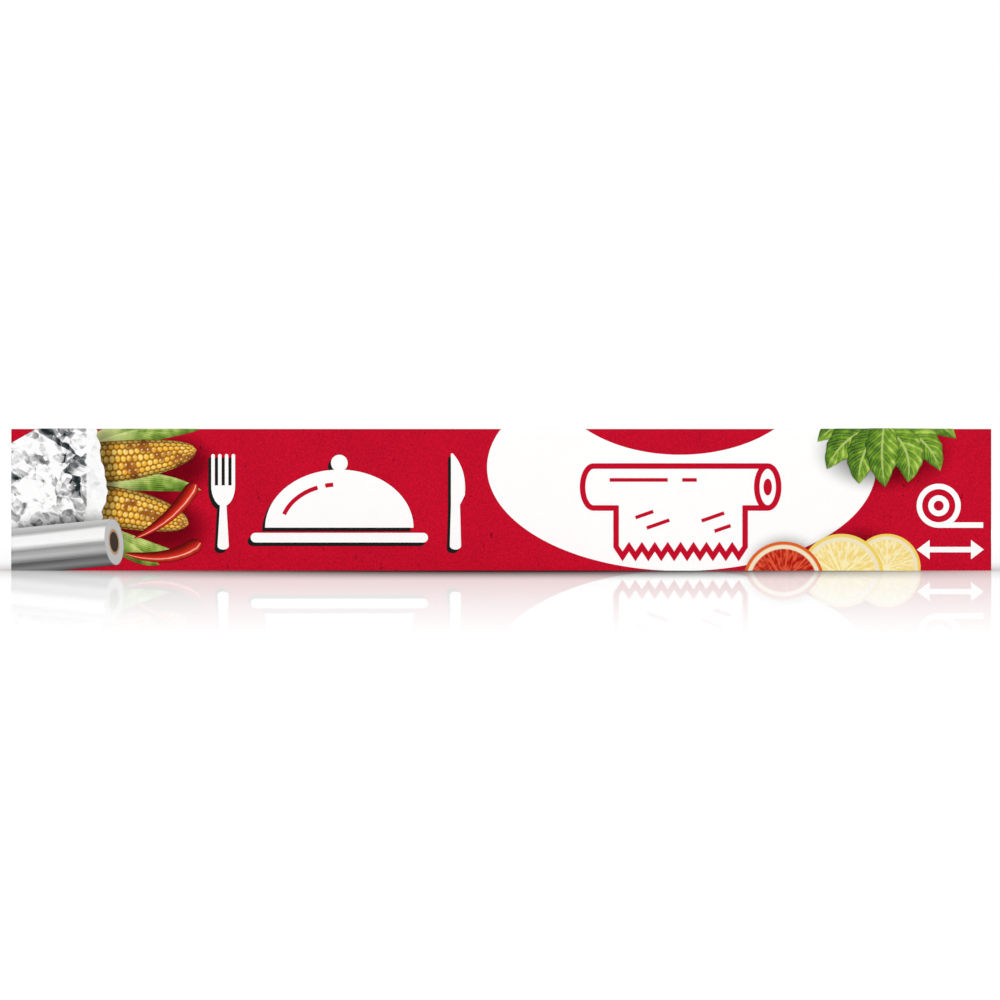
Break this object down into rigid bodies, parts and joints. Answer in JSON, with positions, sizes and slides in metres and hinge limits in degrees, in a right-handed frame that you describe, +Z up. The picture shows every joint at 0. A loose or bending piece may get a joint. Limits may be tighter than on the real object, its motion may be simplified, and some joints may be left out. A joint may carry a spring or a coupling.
{
  "type": "aluminium foil carton",
  "caption": "Sealed square carton that holds a roll of household aluminium foil, with a toothed steel cutter strip along the underside of its front edge.",
  "frame": {"origin": "middle of the base, on the surface that the carton stands on", "axes": "+X along the carton's length, to the right as seen from the front; the front faces -Y; +Z up"},
  "size_m": [0.304, 0.044, 0.044],
  "materials": {
    "printed_board": "red printed and varnished folding board",
    "cutter_steel": "thin bright spring steel strip"
  },
  "bodies": {
    "root": {"foil_carton": "printed_board", "cutter_strip": "cutter_steel"}
  },
  "joints": []
}
